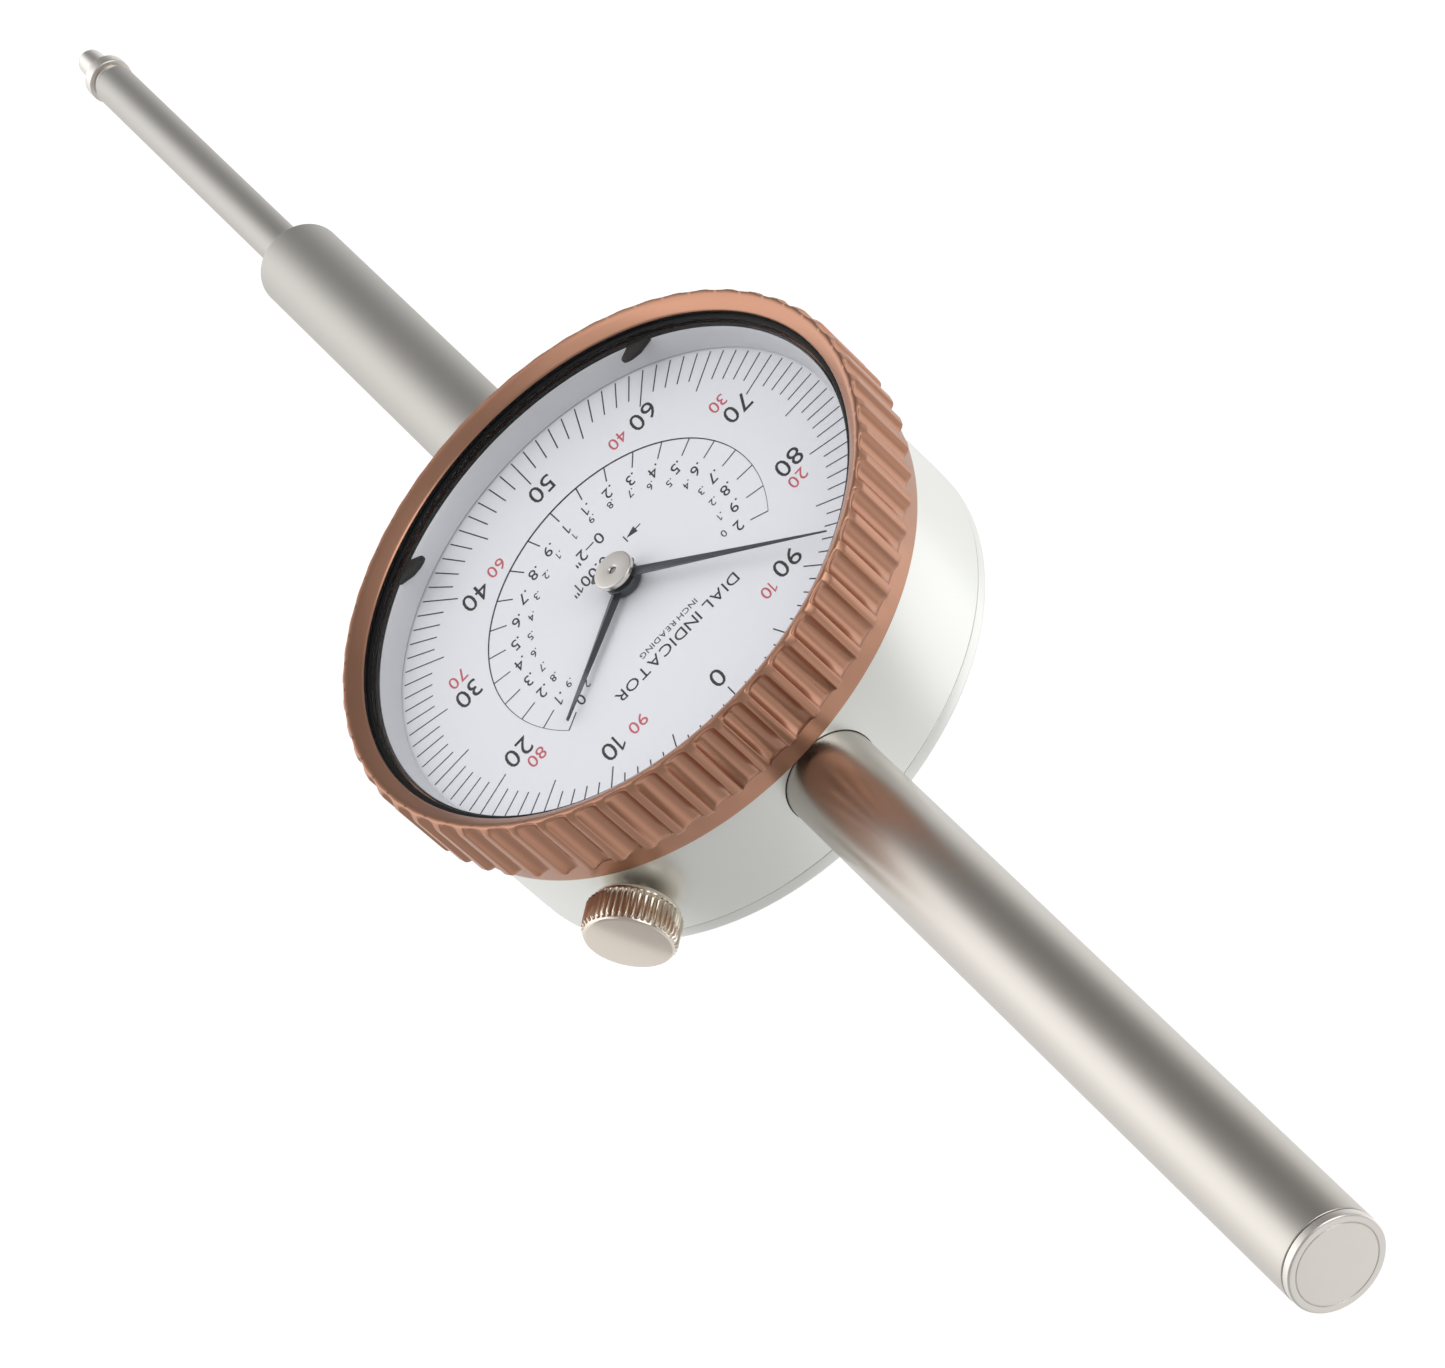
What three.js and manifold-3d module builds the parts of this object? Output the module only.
// Plunger dial indicator, millimetres. +Z runs up the spindle axis, -Y is the side the dial faces,
// and the origin is on the spindle axis, half way along the clamping length of the stem.
import * as THREE from 'three';
import { mergeVertices } from 'three/addons/utils/BufferGeometryUtils.js';
import Module from 'manifold-3d';

const wasm = await Module();
wasm.setup();

// ---- driving dimensions ----
const TAU = Math.PI * 2;
const DIAL_Z = 60;              // height of the dial's centre
const TRAVEL = 51.0;            // spindle travel: two inches and a little over
const ROUND_SEGMENTS = 48;      // facets round the case, the bezel and the dial
const FIT = 0.15;               // gap between pieces that touch
const RUN = 0.17;               // running clearance round a sliding shaft

const STEM_R = 9.525 / 2;       // three-eighths of an inch across
const STEM_BORE_R = 3.75;
const STEM_END_Z = -33.2;
const STEM_TOP_Z = 35.6;
const TUBE_BOTTOM_Z = 84.6;
const TUBE_TOP_Z = 175.4;
const CAP_TOP_Z = 176.4;
const SPINDLE_R = 2.33;
const SPINDLE_END_Z = -84.6;
const SPINDLE_NECK_Z = 92.2;
const SPINDLE_TOP_Z = 94.8;
const CONTACT_TIP_Z = -92.8;
const BUSH_R = STEM_BORE_R - FIT;

const CASE_R = 27.95;
const CASE_WALL_R = 25.4;
const CASE_RIM_R = 26.9;        // where the bezel skirt turns on the case
const CASE_FRONT_Y = -10.4;
const CASE_SHOULDER_Y = -4.9;
const CASE_BACK_Y = 6.2;
const LEDGE_R = 22.5;            // the ledge that the movement's front plate screws to
const LEDGE_REAR_Y = -8.4;
const COVER_FRONT_Y = 6.6;
const COVER_BACK_Y = 7.7;
const COVER_SEAT_Y = 7.15;      // the floor of the counterbores that the screw heads sink into
const COUNTERBORE_R = 1.0;
const COVER_SCREW_R = 26.5;
const COVER_SCREW_ANGLES = [30, 120, 210, 300];

const LUG_WIDTH = 6.35;         // a quarter of an inch
const LUG_HEIGHT = 16;
const LUG_HOLE_R = 3.2;
const LUG_HOLE_Y = 14.5;
const LUG_BACK_Y = 20.4;

const BEZEL_CREST_R = 30.2;
const BEZEL_VALLEY_R = 29.1;
const BEZEL_FLANGE_R = 28.9;
const BEZEL_BORE_R = 27.35;
const BEZEL_SEAT_R = 28.05;
const BEZEL_FRONT_Y = -16.4;
const BEZEL_SEAT_Y = -14.1;
const FLUTE_END_Y = -7.6;
const BEZEL_BACK_Y = -5.2;
const FLUTES = 56;
const RETAINER_Y = -7.0;

const DIAL_R = 27.15;
const DIAL_FRONT_Y = -11.3;
const DIAL_BACK_Y = -10.9;

const PLATE_R = 24.9;
const FRONT_PLATE_Y = [-8.1, -7.1];
const REAR_PLATE_Y = [3.2, 4.2];
const PILLAR_RADIUS = 17;
const PILLAR_ANGLES = [60, 150, 255];
const LEDGE_SCREW_RADIUS = 23.7;
const LEDGE_SCREW_ANGLES = [20, 140, 260];
const SCREW_R = 0.6;
const TAPPED_R = 0.75;

const RACK_PITCH = 1.27;        // ten pinion teeth make half an inch of spindle travel
const RACK_MODULE = RACK_PITCH / Math.PI;
const RACK_PINION_TEETH = 10;
const RACK_TEETH = 45;
const RACK_TIP_X = -1.9;
const RACK_ROOT_X = -1.15;
const DRIVE_TEETH = 60;
const CENTRE_TEETH = 12;
const TAKE_UP_TEETH = 48;
const GO_MODULE = 0.25;
const STEP_PINION_TEETH = 8;
const IDLER_TEETH = 42;
const IDLER_MODULE = 0.2;
const HOUR_TEETH = 45;
const HOUR_MODULE = 0.2 * (STEP_PINION_TEETH + IDLER_TEETH) / (STEP_PINION_TEETH + HOUR_TEETH);

const RACK_ARBOR = { x: -1.6 - RACK_PINION_TEETH * RACK_MODULE / 2, z: 0 };
const DRIVE_DISTANCE = GO_MODULE * (DRIVE_TEETH + CENTRE_TEETH) / 2;
RACK_ARBOR.z = -Math.sqrt(DRIVE_DISTANCE ** 2 - RACK_ARBOR.x ** 2);
const TAKE_UP_DISTANCE = GO_MODULE * (TAKE_UP_TEETH + CENTRE_TEETH) / 2;
const TAKE_UP_ARBOR = polar(TAKE_UP_DISTANCE, 45);
const IDLER_DISTANCE = IDLER_MODULE * (STEP_PINION_TEETH + IDLER_TEETH) / 2;
const IDLER_ARBOR = polar(IDLER_DISTANCE, 115);

const LONG_HAND_ANGLE = 318.9;  // degrees clockwise from twelve, seen from the front
const SHORT_HAND_ANGLE = 56.7;
const LONG_HAND_R = 24.6;
const SHORT_HAND_R = 15.6;
const TOLERANCE_ANGLES = { tolerance_hand_left: 218, tolerance_hand_right: 148.5 };
const LOCK_ANGLE = 47;
const KNOB_R = 4.65;
const KNOB_TEETH = 30;
const KNOB_END = 33.1;

// ---- materials ----
function metal(color, roughness, metalness = 0.9) {
  return new THREE.MeshStandardMaterial({ color, roughness, metalness });
}
const MATERIALS = {
  case_aluminium: () => metal(0xd9dad8, 0.45, 0.7),
  ground_steel: () => metal(0xb4b0ab, 0.35),
  rose_bezel: () => metal(0xb98069, 0.4, 0.75),
  nickel: () => metal(0xc9c0b4, 0.2),
  dial_white: () => metal(0xe3e5ea, 0.6, 0),
  hand_dark: () => metal(0x3f4145, 0.4, 0.6),
  black_trim: () => metal(0x1b1b1d, 0.5, 0.1),
  crystal_clear: () => metal(0xf2f5f7, 0.08, 0),
  brass: () => metal(0xc7a553, 0.35),
  bronze: () => metal(0xa8784a, 0.45),
  spring_steel: () => metal(0x8f9296, 0.35),
};

// ---- geometry helpers ----
// A point at a radius and an angle, in degrees clockwise from twelve as the dial is read.
function polar(radius, degrees) {
  const angle = THREE.MathUtils.degToRad(degrees);
  return { x: radius * Math.sin(angle), z: radius * Math.cos(angle) };
}

// Turns a closed three.js geometry into a solid whose faces point outwards.
function solid(geometry) {
  const bare = geometry.clone();
  bare.deleteAttribute('normal');
  bare.deleteAttribute('uv');
  const merged = mergeVertices(bare, 1e-5);
  const points = merged.attributes.position.array;
  const corners = [];
  let volume = 0;
  for (let i = 0; i < merged.index.count; i += 3) {
    const [a, b, c] = merged.index.array.slice(i, i + 3);
    if (a === b || b === c || c === a) continue;
    corners.push(a, b, c);
    const [p, q, r] = [a, b, c].map((v) => new THREE.Vector3().fromArray(points, v * 3));
    volume += p.dot(q.cross(r));
  }
  if (volume < 0) corners.reverse();
  return new wasm.Manifold(new wasm.Mesh({
    numProp: 3,
    vertProperties: Float32Array.from(points),
    triVerts: Uint32Array.from(corners),
  }));
}

// Points along an arc in a profile, from one angle to another in degrees.
function arc(centreR, centreY, radius, from, to, steps = 5) {
  return Array.from({ length: steps + 1 }, (_, i) => {
    const angle = THREE.MathUtils.degToRad(from + (to - from) * i / steps);
    return [centreR + radius * Math.cos(angle), centreY + radius * Math.sin(angle)];
  });
}

function latheGeometry(profile, segments) {
  return new THREE.LatheGeometry(profile.map(([r, y]) => new THREE.Vector2(r, y)), segments);
}

// A solid of revolution about the dial's own axis; the profile is [radius, y].
function turned(profile, segments = 24) {
  return solid(latheGeometry(profile, segments));
}

// A solid of revolution about the spindle axis; the profile is [radius, z].
function turnedUp(profile, segments = 24) {
  return solid(latheGeometry(profile, segments).rotateX(Math.PI / 2));
}

function disc(radius, y0, y1, segments = 24) {
  return turned([[0, y0], [radius, y0], [radius, y1], [0, y1]], segments);
}

function ring(inner, outer, y0, y1, segments = 24) {
  return turned([[inner, y0], [outer, y0], [outer, y1], [inner, y1], [inner, y0]], segments);
}

function block(x, y, z, sizeX, sizeY, sizeZ) {
  return solid(new THREE.BoxGeometry(sizeX, sizeY, sizeZ).translate(x, y, z));
}

// A flat piece drawn in the dial's plane, x to the right and z up, between two depths.
function plate(points, y0, y1, holes = []) {
  const shape = new THREE.Shape(points.map(([x, z]) => new THREE.Vector2(x, z)));
  for (const { x, z, r, n = 12 } of holes) {
    const edge = Array.from({ length: n }, (_, i) => new THREE.Vector2(
      x + r * Math.cos(TAU * i / n), z + r * Math.sin(TAU * i / n)));
    shape.holes.push(new THREE.Path(edge));
  }
  const geometry = new THREE.ExtrudeGeometry(shape, { depth: y1 - y0, bevelEnabled: false });
  return solid(geometry.rotateX(Math.PI / 2).translate(0, y1, 0));
}

function drillY(body, spots, radius, y0, y1, segments = 10) {
  return spots.reduce((left, { x, z }) => left.subtract(
    disc(radius, y0, y1, segments).translate([x, 0, z])), body);
}

// ---- assembly helpers ----
const indicator = new THREE.Group();
const head = new THREE.Group();
head.position.z = DIAL_Z;
indicator.add(head);

function add(name, material, body, parent = head, place = { x: 0, z: 0 }) {
  const { vertProperties, triVerts } = body.getMesh();
  const geometry = new THREE.BufferGeometry();
  geometry.setAttribute('position', new THREE.BufferAttribute(vertProperties, 3));
  geometry.setIndex(new THREE.BufferAttribute(triVerts, 1));
  geometry.computeVertexNormals();
  const mesh = new THREE.Mesh(geometry, MATERIALS[material]());
  mesh.name = name;
  mesh.position.set(place.x, 0, place.z);
  parent.add(mesh);
}

// ---- gears ----
// Straight-sided teeth, thinner than half the pitch so that every pair keeps its backlash.
function gearOutline(teeth, module, phase) {
  const pitchR = teeth * module / 2;
  const tipR = pitchR + 0.72 * module;
  const rootR = pitchR - 1.1 * module;
  const points = [];
  for (let i = 0; i < teeth; i += 1) {
    const centre = phase + TAU * i / teeth;
    const atRoot = 0.27 * TAU / teeth;
    const atTip = 0.1 * TAU / teeth;
    for (const [r, offset] of [[rootR, -atRoot], [tipR, -atTip], [tipR, atTip], [rootR, atRoot]]) {
      points.push([r * Math.cos(centre + offset), r * Math.sin(centre + offset)]);
    }
  }
  return points;
}

function gear(teeth, module, phase, y0, y1, boreR = 0) {
  const holes = boreR ? [{ x: 0, z: 0, r: boreR, n: 12 }] : [];
  return plate(gearOutline(teeth, module, phase), y0, y1, holes);
}

// The phase that lets a gear's gaps meet the teeth of the gear it is driven by.
function meshPhase(driverPhase, driverTeeth, drivenTeeth, direction) {
  const pitch = TAU / driverTeeth;
  const offset = ((direction - driverPhase) % pitch + pitch) % pitch;
  return direction + Math.PI + offset * driverTeeth / drivenTeeth + Math.PI / drivenTeeth;
}

function direction(from, to) {
  return Math.atan2(to.z - from.z, to.x - from.x);
}

const CENTRE = { x: 0, z: 0 };
const DRIVE_PHASE = direction(RACK_ARBOR, CENTRE);
const CENTRE_PHASE = meshPhase(DRIVE_PHASE, DRIVE_TEETH, CENTRE_TEETH, DRIVE_PHASE);
const TAKE_UP_PHASE = meshPhase(CENTRE_PHASE, CENTRE_TEETH, TAKE_UP_TEETH,
  direction(CENTRE, TAKE_UP_ARBOR));
const IDLER_PHASE = meshPhase(0, STEP_PINION_TEETH, IDLER_TEETH, direction(CENTRE, IDLER_ARBOR));
const HOUR_PHASE = meshPhase(0, STEP_PINION_TEETH, HOUR_TEETH, direction(IDLER_ARBOR, CENTRE));

// ---- case and covers ----
function roundHoleUp(radius, z0, z1) {
  return turnedUp([[0, z0], [radius, z0], [radius, z1], [0, z1]], 24);
}

function makeCase() {
  const grooveR = CASE_RIM_R - 0.6;
  const wall = turned([
    [LEDGE_R, CASE_FRONT_Y], [CASE_RIM_R, CASE_FRONT_Y], [CASE_RIM_R, RETAINER_Y - 0.5],
    [grooveR, RETAINER_Y - 0.5], [grooveR, RETAINER_Y + 0.5], [CASE_RIM_R, RETAINER_Y + 0.5],
    [CASE_RIM_R, CASE_SHOULDER_Y], [CASE_R, CASE_SHOULDER_Y], [CASE_R, CASE_BACK_Y],
    [CASE_WALL_R, CASE_BACK_Y], [CASE_WALL_R, LEDGE_REAR_Y], [LEDGE_R, LEDGE_REAR_Y],
    [LEDGE_R, CASE_FRONT_Y],
  ], ROUND_SEGMENTS);
  const bore = STEM_R + FIT;
  let body = wall.subtract(roundHoleUp(bore, -40, -20)).subtract(roundHoleUp(bore, 20, 40));
  const lockHole = roundHoleUp(1.5, 20, 32).rotate([0, LOCK_ANGLE, 0]);
  body = body.subtract(lockHole);
  const coverHoles = COVER_SCREW_ANGLES.map((a) => polar(COVER_SCREW_R, a));
  body = drillY(body, coverHoles, TAPPED_R, 2.0, CASE_BACK_Y + 1);
  const ledgeHoles = LEDGE_SCREW_ANGLES.map((a) => polar(LEDGE_SCREW_RADIUS, a));
  return drillY(body, ledgeHoles, TAPPED_R, -10, -8);
}

function makeLug() {
  const half = LUG_HEIGHT / 2;
  const nose = LUG_BACK_Y - half;
  const outline = [[COVER_BACK_Y - 0.4, -half]];
  for (const [y, z] of arc(nose, 0, half, -90, 90, 12)) outline.push([y, z]);
  outline.push([COVER_BACK_Y - 0.4, half]);
  const shape = new THREE.Shape(outline.map(([y, z]) => new THREE.Vector2(y, z)));
  const hole = new THREE.Path().absarc(LUG_HOLE_Y, 0, LUG_HOLE_R, 0, TAU, true);
  shape.holes.push(new THREE.Path(hole.getPoints(24).slice(0, -1)));
  const geometry = new THREE.ExtrudeGeometry(shape, { depth: LUG_WIDTH, bevelEnabled: false });
  geometry.translate(0, 0, -LUG_WIDTH / 2);
  return solid(geometry.rotateX(Math.PI / 2).rotateZ(Math.PI / 2));
}

function makeBackCover() {
  const sheet = turned([
    [0, COVER_FRONT_Y], [CASE_R - 0.05, COVER_FRONT_Y], [CASE_R - 0.05, COVER_BACK_Y - 0.4],
    [CASE_R - 0.45, COVER_BACK_Y], [0, COVER_BACK_Y],
  ], ROUND_SEGMENTS);
  const holes = COVER_SCREW_ANGLES.map((a) => polar(COVER_SCREW_R, a));
  const drilled = drillY(sheet.add(makeLug()), holes, TAPPED_R, 6, 9);
  return drillY(drilled, holes, COUNTERBORE_R, COVER_SEAT_Y, 9, 16);
}

// A slotted pan-head screw along Y, its head on the far side of the given face.
function makeScrew(seatY, length, headR = 1.1, headHeight = 0.6) {
  const top = seatY + headHeight;
  const profile = [[0, seatY - length], [SCREW_R, seatY - length], [SCREW_R, seatY],
    [headR, seatY], [headR, top], [0, top]];
  return turned(profile, 10).subtract(block(0, top, 0, headR * 3, 0.5, 0.32));
}

add('case_body', 'case_aluminium', makeCase());
add('back_cover', 'case_aluminium', makeBackCover());
add('back_cover_seal', 'black_trim', ring(25.45, 25.8, 6.25, 6.55, 40));
COVER_SCREW_ANGLES.forEach((angle, i) => {
  const screw = makeScrew(COVER_SEAT_Y + 0.05, 5, 0.9, 0.45);
  add(`back_cover_screw_${i + 1}`, 'nickel', screw, head, polar(COVER_SCREW_R, angle));
});

// ---- stem, top tube and their bushes ----
function makeStem() {
  const round = 0.95;
  return turnedUp([
    [STEM_BORE_R, STEM_END_Z], ...arc(STEM_R - round, STEM_END_Z + round, round, -90, 0, 3),
    [STEM_R, STEM_TOP_Z], [STEM_BORE_R, STEM_TOP_Z], [STEM_BORE_R, STEM_END_Z],
  ], 28);
}

function makeTopTube() {
  const wall = turnedUp([
    [STEM_BORE_R, TUBE_BOTTOM_Z], [STEM_R, TUBE_BOTTOM_Z], [STEM_R, TUBE_TOP_Z],
    [STEM_BORE_R, TUBE_TOP_Z], [STEM_BORE_R, TUBE_BOTTOM_Z],
  ], 28);
  const keyway = block(STEM_BORE_R + 0.2, 0, 132.5, 0.8, 1.5, 81);
  return wall.subtract(keyway);
}

function makeTubeCap() {
  return turnedUp([
    [0, TUBE_TOP_Z - 3], [BUSH_R, TUBE_TOP_Z - 3], [BUSH_R, TUBE_TOP_Z + FIT],
    [STEM_R - 0.05, TUBE_TOP_Z + FIT], [STEM_R - 0.05, CAP_TOP_Z - 0.35],
    [STEM_R - 0.4, CAP_TOP_Z], [0, CAP_TOP_Z],
  ], 28);
}

function makeBush(z0, z1) {
  const bore = SPINDLE_R + RUN;
  return turnedUp([[bore, z0], [BUSH_R, z0], [BUSH_R, z1], [bore, z1], [bore, z0]], 20);
}

add('stem', 'ground_steel', makeStem(), indicator);
add('top_tube', 'ground_steel', makeTopTube(), indicator);
add('tube_end_cap', 'ground_steel', makeTubeCap(), indicator);
add('lower_guide_bush', 'bronze', makeBush(STEM_END_Z + 0.4, -14), indicator);
add('upper_guide_bush', 'bronze', makeBush(TUBE_BOTTOM_Z + 0.1, SPINDLE_NECK_Z - 0.4), indicator);

// ---- spindle, contact and return spring ----
function rackCutter() {
  const first = RACK_ARBOR.z + DIAL_Z + 3 * RACK_PITCH;
  const points = [[-4, first + RACK_PITCH], [RACK_TIP_X, first + RACK_PITCH]];
  for (let i = 0; i < RACK_TEETH; i += 1) {
    const z = first - i * RACK_PITCH;
    const tip = 0.11 * RACK_PITCH;
    const root = 0.28 * RACK_PITCH;
    points.push([RACK_ROOT_X, z + root], [RACK_TIP_X, z + tip]);
    points.push([RACK_TIP_X, z - tip], [RACK_ROOT_X, z - root]);
  }
  const last = first - RACK_TEETH * RACK_PITCH;
  points.push([RACK_TIP_X, last], [-4, last]);
  return plate(points, -2.6, 2.6);
}

function makeSpindle() {
  const studBore = 1.15;
  const neck = 1.2;
  const rod = turnedUp([
    [0, -80.5], [studBore, -80.5], [studBore, SPINDLE_END_Z], [SPINDLE_R - 0.3, SPINDLE_END_Z],
    [SPINDLE_R, SPINDLE_END_Z + 0.3], [SPINDLE_R, SPINDLE_NECK_Z], [neck, SPINDLE_NECK_Z],
    [neck, SPINDLE_TOP_Z], [0, SPINDLE_TOP_Z],
  ], 16);
  return rod.subtract(rackCutter());
}

function makeContact() {
  const collarZ = SPINDLE_END_Z - 0.3;
  const tipR = 1.5;
  return turnedUp([
    [0, -81], [1, -81], [1, collarZ], [2.1, collarZ], [2.1, collarZ - 0.4],
    [2.6, collarZ - 0.6], [2.6, collarZ - 2.2], [1.6, collarZ - 3.4],
    ...arc(0, CONTACT_TIP_Z + tipR, tipR, 0, -90, 5).slice(0, -1), [0, CONTACT_TIP_Z],
  ], 16);
}

function makeFollower() {
  const z0 = SPINDLE_NECK_Z + 0.1;
  const bore = 1.35;
  const outer = STEM_BORE_R - 0.35;
  const collar = turnedUp([[bore, z0], [outer, z0], [outer, z0 + 2], [bore, z0 + 2], [bore, z0]], 16);
  return collar.add(block(outer + 0.15, 0, z0 + 1, 0.8, 1.0, 2));
}

class Helix extends THREE.Curve {
  constructor(radius, z0, z1, turns) {
    super();
    Object.assign(this, { radius, z0, z1, turns });
  }

  getPoint(t, target = new THREE.Vector3()) {
    const angle = TAU * this.turns * t;
    const z = this.z0 + (this.z1 - this.z0) * t;
    return target.set(this.radius * Math.cos(angle), this.radius * Math.sin(angle), z);
  }
}

function makeReturnSpring() {
  const turns = 12;
  const wire = 0.32;
  const section = new THREE.Shape(Array.from({ length: 5 }, (_, i) => new THREE.Vector2(
    wire * Math.cos(TAU * i / 5), wire * Math.sin(TAU * i / 5))));
  const path = new Helix(2.7, SPINDLE_TOP_Z + 0.6, TUBE_TOP_Z - 3.6, turns);
  return solid(new THREE.ExtrudeGeometry(section, { steps: turns * 9, extrudePath: path }));
}

add('spindle', 'ground_steel', makeSpindle(), indicator);
add('contact_point', 'ground_steel', makeContact(), indicator);
add('spring_follower', 'brass', makeFollower(), indicator);
add('return_spring', 'spring_steel', makeReturnSpring(), indicator);

// ---- movement plates, pillars and screws ----
const PILLARS = PILLAR_ANGLES.map((angle) => polar(PILLAR_RADIUS, angle));
const COCK_POSTS = [{ x: -13, z: 0 }, { x: 13, z: 0 }];
const HOUR_COCK_POSTS = [polar(8.5, 35), polar(8.5, 215)];

function pivotHoles(...arbors) {
  return arbors.map(({ x, z }) => ({ x, z, r: 0.62, n: 10 }));
}

function circle(radius, count = 40) {
  return Array.from({ length: count }, (_, i) => [
    radius * Math.cos(TAU * i / count), radius * Math.sin(TAU * i / count)]);
}

function makeFrontPlate() {
  const ledge = LEDGE_SCREW_ANGLES.map((a) => ({ ...polar(LEDGE_SCREW_RADIUS, a), r: 0.8, n: 10 }));
  return plate(circle(PLATE_R), ...FRONT_PLATE_Y, [
    ...pivotHoles(RACK_ARBOR, TAKE_UP_ARBOR, IDLER_ARBOR), { ...CENTRE, r: 0.75, n: 12 }, ...ledge]);
}

function makeRearPlate() {
  const pillars = PILLARS.map((spot) => ({ ...spot, r: 0.8, n: 10 }));
  return plate(circle(20, 32), ...REAR_PLATE_Y, [
    ...pivotHoles(RACK_ARBOR, TAKE_UP_ARBOR), ...pillars]);
}

function makePillar() {
  const front = FRONT_PLATE_Y[1] + FIT;
  const rear = REAR_PLATE_Y[0] - FIT;
  return turned([[0, front], [1.5, front], [1.5, rear], [TAPPED_R, rear], [TAPPED_R, rear - 3],
    [0, rear - 3]], 12);
}

// A narrow bar with a rounded end round each of its two posts.
function barOutline(a, b, halfWidth) {
  const along = Math.atan2(b.z - a.z, b.x - a.x);
  const points = [];
  for (const [post, start] of [[b, -90], [a, 90]]) {
    for (const [x, z] of arc(0, 0, halfWidth, start, start + 180, 5)) {
      points.push([post.x + x * Math.cos(along) - z * Math.sin(along),
        post.z + x * Math.sin(along) + z * Math.cos(along)]);
    }
  }
  return points;
}

function makeCock(posts, halfWidth, y0, y1, holes) {
  return plate(barOutline(...posts, halfWidth), y0, y1, holes);
}

add('front_plate', 'brass', makeFrontPlate());
add('rear_plate', 'brass', makeRearPlate());
PILLARS.forEach((spot, i) => {
  add(`pillar_${i + 1}`, 'brass', makePillar(), head, spot);
  add(`pillar_screw_${i + 1}`, 'nickel', makeScrew(REAR_PLATE_Y[1] + 0.05, 3), head, spot);
});
LEDGE_SCREW_ANGLES.forEach((angle, i) => {
  add(`plate_screw_${i + 1}`, 'nickel', makeScrew(FRONT_PLATE_Y[1] + 0.05, 2.4, 1.0, 0.5), head,
    polar(LEDGE_SCREW_RADIUS, angle));
});
const CENTRE_COCK_Y = [-3.35, -2.8];
add('centre_cock', 'brass', makeCock(COCK_POSTS, 2, ...CENTRE_COCK_Y, pivotHoles(CENTRE)));
COCK_POSTS.forEach((spot, i) => {
  add(`cock_post_${i + 1}`, 'brass', disc(1.2, FRONT_PLATE_Y[1] + FIT, CENTRE_COCK_Y[0] - FIT, 12),
    head, spot);
});
const HOUR_COCK_Y = [-9.35, -9.1];
const hourCock = makeCock(HOUR_COCK_POSTS, 1.9, ...HOUR_COCK_Y, [{ ...CENTRE, r: 1.3, n: 12 }]);
add('short_hand_cock', 'brass', HOUR_COCK_POSTS.reduce((cock, { x, z }) => cock.add(
  disc(1.2, HOUR_COCK_Y[0] + 0.05, FRONT_PLATE_Y[0] - FIT, 12).translate([x, 0, z])), hourCock));

// ---- gear train ----
// A shaft with thin pivots at both ends and a thicker middle.
function arbor(pivotFront, bodyFront, bodyRear, pivotRear, bodyR = 0.8, pivotR = 0.4) {
  return turned([[0, pivotFront], [pivotR, pivotFront], [pivotR, bodyFront], [bodyR, bodyFront],
    [bodyR, bodyRear], [pivotR, bodyRear], [pivotR, pivotRear], [0, pivotRear]], 12);
}

function makeRackPinion() {
  const shaft = arbor(-7.9, -6.9, 3.0, 4.0);
  return shaft.add(gear(RACK_PINION_TEETH, RACK_MODULE, Math.PI / RACK_PINION_TEETH, -1.6, 1.6));
}

function makeCentrePinion() {
  const shaft = turned([[0, -13.45], [0.5, -13.45], [0.5, -6.9], [0.8, -6.9], [0.8, -3.5],
    [0.4, -3.5], [0.4, -2.9], [0, -2.9]], 12);
  const goPinion = gear(CENTRE_TEETH, GO_MODULE, CENTRE_PHASE, -5.0, -3.6);
  return shaft.add(goPinion).add(gear(STEP_PINION_TEETH, IDLER_MODULE, 0, -8.95, -8.3));
}

function makeIdler() {
  const shaft = turned([[0, -10.6], [0.5, -10.6], [0.5, -8.2], [0.4, -8.2], [0.4, -7.2],
    [0, -7.2]], 12);
  const wheel = gear(IDLER_TEETH, IDLER_MODULE, IDLER_PHASE, -8.85, -8.45);
  return shaft.add(wheel).add(gear(STEP_PINION_TEETH, HOUR_MODULE, 0, -10.3, -9.55));
}

function makeHourWheel() {
  const pipe = ring(0.7, 1.1, -12.35, -9.05, 12);
  return pipe.add(gear(HOUR_TEETH, HOUR_MODULE, HOUR_PHASE, -10.2, -9.7, 0.9));
}

// A flat spiral strip between two radii.
function makeHairspring() {
  const turns = 4;
  const steps = turns * 10;
  const strip = 0.09;
  const edge = (side) => Array.from({ length: steps + 1 }, (_, i) => {
    const r = 1.1 + (3.6 - 1.1) * i / steps + side * strip;
    return [r * Math.cos(TAU * turns * i / steps), r * Math.sin(TAU * turns * i / steps)];
  });
  return plate([...edge(1), ...edge(-1).reverse()], -6.3, -5.8);
}

const DRIVE_Y = [-4.4, -3.9];
add('rack_pinion', 'spring_steel', makeRackPinion(), head, RACK_ARBOR);
add('drive_wheel', 'brass', gear(DRIVE_TEETH, GO_MODULE, DRIVE_PHASE, ...DRIVE_Y, 0.9), head,
  RACK_ARBOR);
add('centre_pinion', 'spring_steel', makeCentrePinion());
add('take_up_arbor', 'spring_steel', arbor(-7.9, -6.9, 3.0, 4.0), head, TAKE_UP_ARBOR);
add('take_up_wheel', 'brass', gear(TAKE_UP_TEETH, GO_MODULE, TAKE_UP_PHASE, ...DRIVE_Y, 0.9), head,
  TAKE_UP_ARBOR);
add('hairspring', 'bronze', makeHairspring(), head, TAKE_UP_ARBOR);
add('idler_wheel', 'brass', makeIdler(), head, IDLER_ARBOR);
add('short_hand_wheel', 'brass', makeHourWheel());

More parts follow.
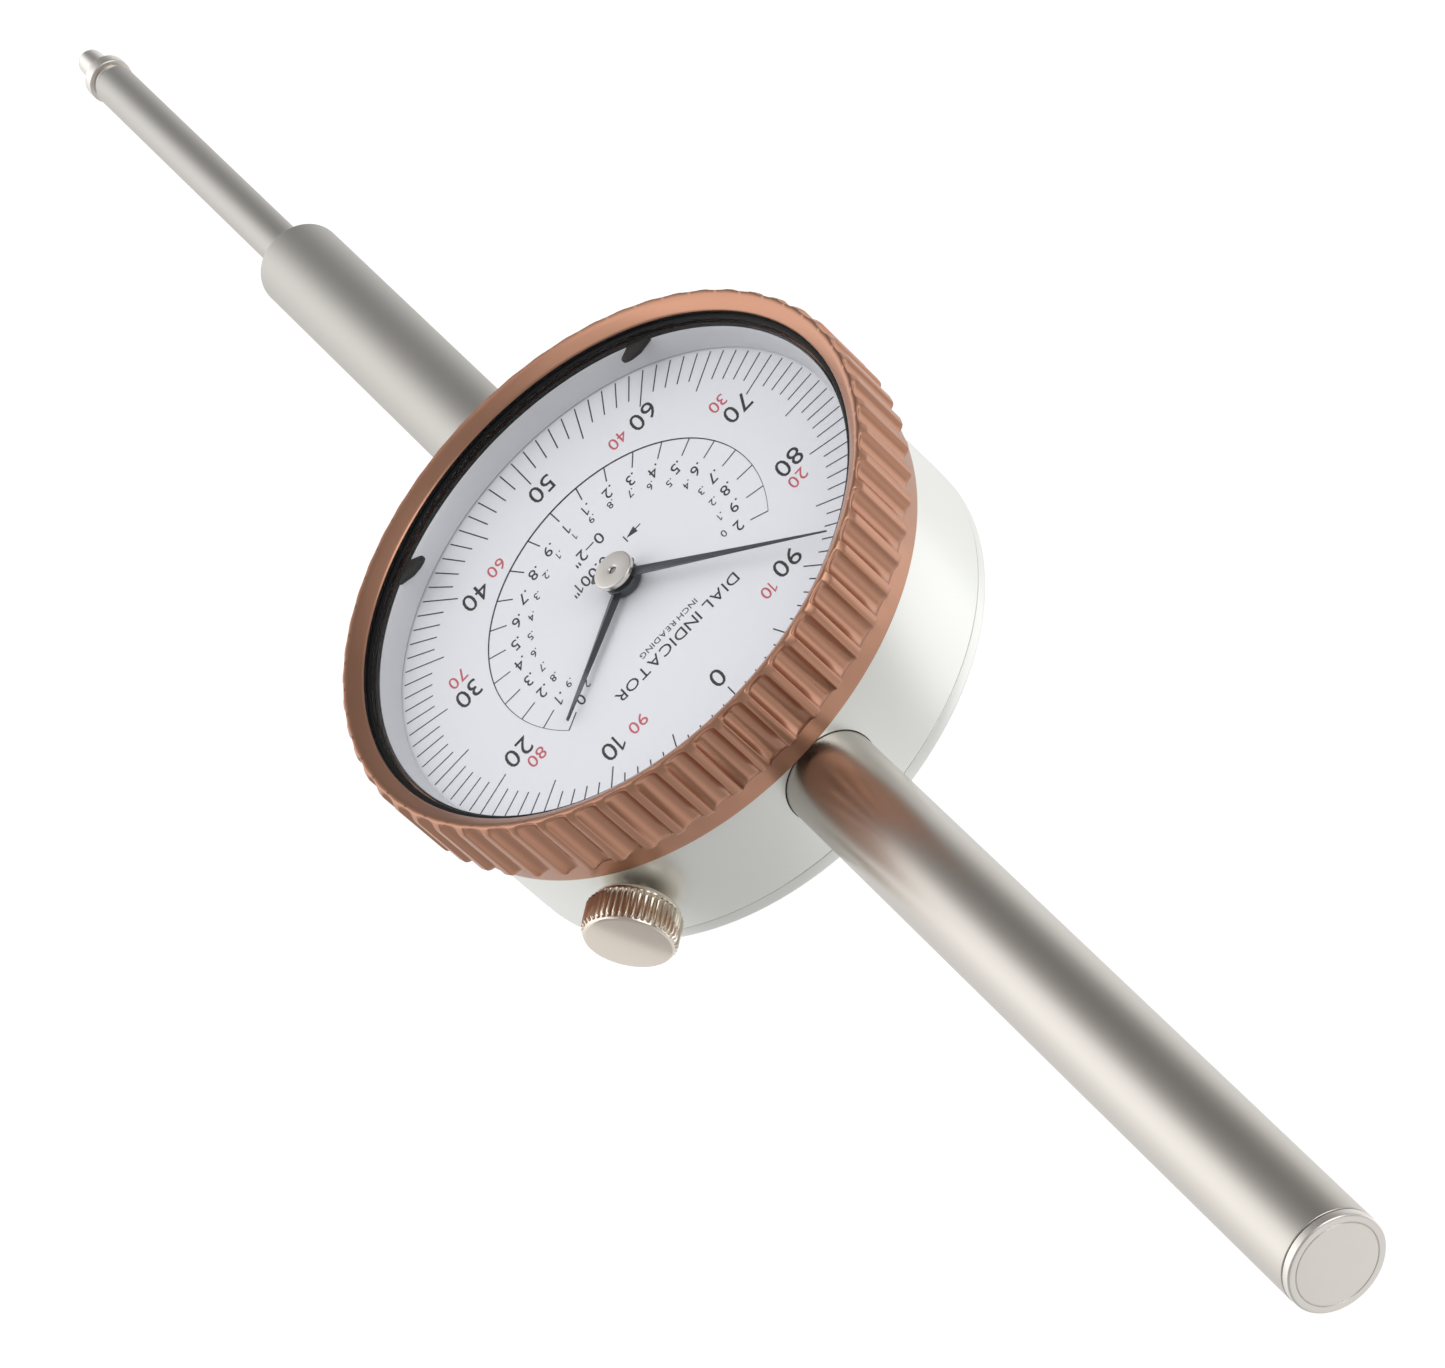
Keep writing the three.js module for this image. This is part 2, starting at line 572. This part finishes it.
// ---- hands ----
// A flat hand drawn pointing at twelve, with a ring round its own arbor, then turned to its angle.
function makeHand(outline, eyeR, holeR, y0, y1, angle) {
  const blade = plate(outline, y0, y1).add(disc(eyeR, y0 - 0.1, y1 + 0.1, 16));
  return blade.subtract(disc(holeR, y0 - 1, y1 + 1, 12)).rotate([0, angle, 0]);
}

const LONG_OUTLINE = [[-0.55, -3.2], [0.55, -3.2], [0.5, 0], [0.42, 6], [0.05, LONG_HAND_R],
  [-0.05, LONG_HAND_R], [-0.42, 6], [-0.5, 0]];
const SHORT_OUTLINE = [[-0.55, -2.4], [0.55, -2.4], [0.62, 2.5], [0.3, 12], [0.05, SHORT_HAND_R],
  [-0.05, SHORT_HAND_R], [-0.3, 12], [-0.62, 2.5]];
add('long_hand', 'hand_dark', makeHand(LONG_OUTLINE, 1.5, 0.65, -12.9, -12.75, LONG_HAND_ANGLE));
add('short_hand', 'hand_dark', makeHand(SHORT_OUTLINE, 1.7, 1.25, -12.2, -12.05, SHORT_HAND_ANGLE));
add('hand_hub', 'nickel', turned([[0.62, -13.7], [1.9, -13.7], [2.1, -13.5], [2.1, -13.15],
  [0.62, -13.15], [0.62, -13.7]], 20));

// ---- bezel, crystal and dial ----
function makeFlutes() {
  const outline = [];
  for (let i = 0; i < FLUTES; i += 1) {
    const pitch = TAU / FLUTES;
    const shape = [[-0.28, BEZEL_VALLEY_R], [-0.16, BEZEL_CREST_R], [0.16, BEZEL_CREST_R],
      [0.28, BEZEL_VALLEY_R]];
    for (const [offset, r] of shape) {
      const angle = (i + offset) * pitch;
      outline.push([r * Math.cos(angle), r * Math.sin(angle)]);
    }
  }
  return plate(outline, BEZEL_FRONT_Y, FLUTE_END_Y);
}

function makeBezel() {
  const envelope = turned([[0, BEZEL_FRONT_Y], [BEZEL_VALLEY_R, BEZEL_FRONT_Y],
    [BEZEL_CREST_R + 0.1, BEZEL_FRONT_Y + 1], [BEZEL_CREST_R + 0.1, FLUTE_END_Y],
    [0, FLUTE_END_Y]], ROUND_SEGMENTS);
  const flange = disc(BEZEL_FLANGE_R, FLUTE_END_Y - 0.2, BEZEL_BACK_Y, ROUND_SEGMENTS);
  const bore = turned([[0, BEZEL_FRONT_Y - 1], [BEZEL_SEAT_R, BEZEL_FRONT_Y - 1],
    [BEZEL_SEAT_R, BEZEL_SEAT_Y], [BEZEL_BORE_R, BEZEL_SEAT_Y],
    [BEZEL_BORE_R, BEZEL_BACK_Y + 1], [0, BEZEL_BACK_Y + 1]], ROUND_SEGMENTS);
  return makeFlutes().intersect(envelope).add(flange).subtract(bore);
}

// A piece of a ring between two angles, in degrees clockwise from twelve.
function ringSegment(inner, outer, y0, y1, from, to, steps) {
  const edge = (r) => Array.from({ length: steps + 1 }, (_, i) => {
    const { x, z } = polar(r, from + (to - from) * i / steps);
    return [x, z];
  });
  return plate([...edge(outer), ...edge(inner).reverse()], y0, y1);
}

function makeToleranceHand(angle) {
  const foot = ringSegment(26.2, 27.05, -13.9, -12.7, angle - 3, angle + 3, 4);
  const pointer = plate([[-0.9, 26.6], [-0.25, 25.3], [0.25, 25.3], [0.9, 26.6]], -13.5, -13.1);
  return foot.add(pointer.rotate([0, angle, 0]));
}

const CRYSTAL_R = 27.4;
add('bezel', 'rose_bezel', makeBezel());
add('crystal', 'crystal_clear', turned([[0, -15.5], [CRYSTAL_R - 0.2, -15.5], [CRYSTAL_R, -15.3],
  [CRYSTAL_R, -14.25], [0, -14.25]], ROUND_SEGMENTS));
add('crystal_gasket', 'black_trim', ring(CRYSTAL_R + 0.1, BEZEL_SEAT_R - 0.1, -15.9,
  -14.25, ROUND_SEGMENTS));
add('dial_face', 'dial_white', ring(1.5, DIAL_R, DIAL_FRONT_Y, DIAL_BACK_Y, ROUND_SEGMENTS));
add('dial_clamp_ring', 'case_aluminium', ring(26.7, DIAL_R, -12.5, DIAL_FRONT_Y - FIT,
  ROUND_SEGMENTS));
for (const [name, angle] of Object.entries(TOLERANCE_ANGLES)) {
  add(name, 'black_trim', makeToleranceHand(angle));
}
add('bezel_retaining_ring', 'spring_steel',
  ringSegment(26.5, 27.15, RETAINER_Y - 0.25, RETAINER_Y + 0.25, 192, 528, 36));

// ---- bezel lock ----
function makeLockKnob() {
  const shank = 1.2;
  const domeR = KNOB_R - 0.3;
  const grip = 30.2;
  const dome = turnedUp([[0, 24.2], [shank, 24.2], [shank, 28.5], [2.4, 28.5], [3.7, 28.8],
    [domeR, grip - 0.4], [domeR, KNOB_END], [0, KNOB_END]], 20);
  const outline = [];
  for (let i = 0; i < KNOB_TEETH * 2; i += 1) {
    const r = KNOB_R - (i % 2) * 0.3;
    const angle = TAU * i / (KNOB_TEETH * 2);
    outline.push(new THREE.Vector2(r * Math.cos(angle), r * Math.sin(angle)));
  }
  const depth = KNOB_END - 0.5 - grip;
  const knurl = new THREE.ExtrudeGeometry(new THREE.Shape(outline), { depth, bevelEnabled: false });
  return dome.add(solid(knurl.translate(0, 0, grip)));
}

function makeClampShoe() {
  const nut = block(0, 0, 23.8, 4, 5, 1.6);
  return nut.subtract(roundHoleUp(shoeBore, 20, 26));
}

const shoeBore = 1.4;
const lock = new THREE.Group();
lock.rotation.y = THREE.MathUtils.degToRad(LOCK_ANGLE);
head.add(lock);
add('bezel_lock_knob', 'nickel', makeLockKnob(), lock);
add('bezel_clamp_shoe', 'brass', makeClampShoe(), lock);

export default indicator;
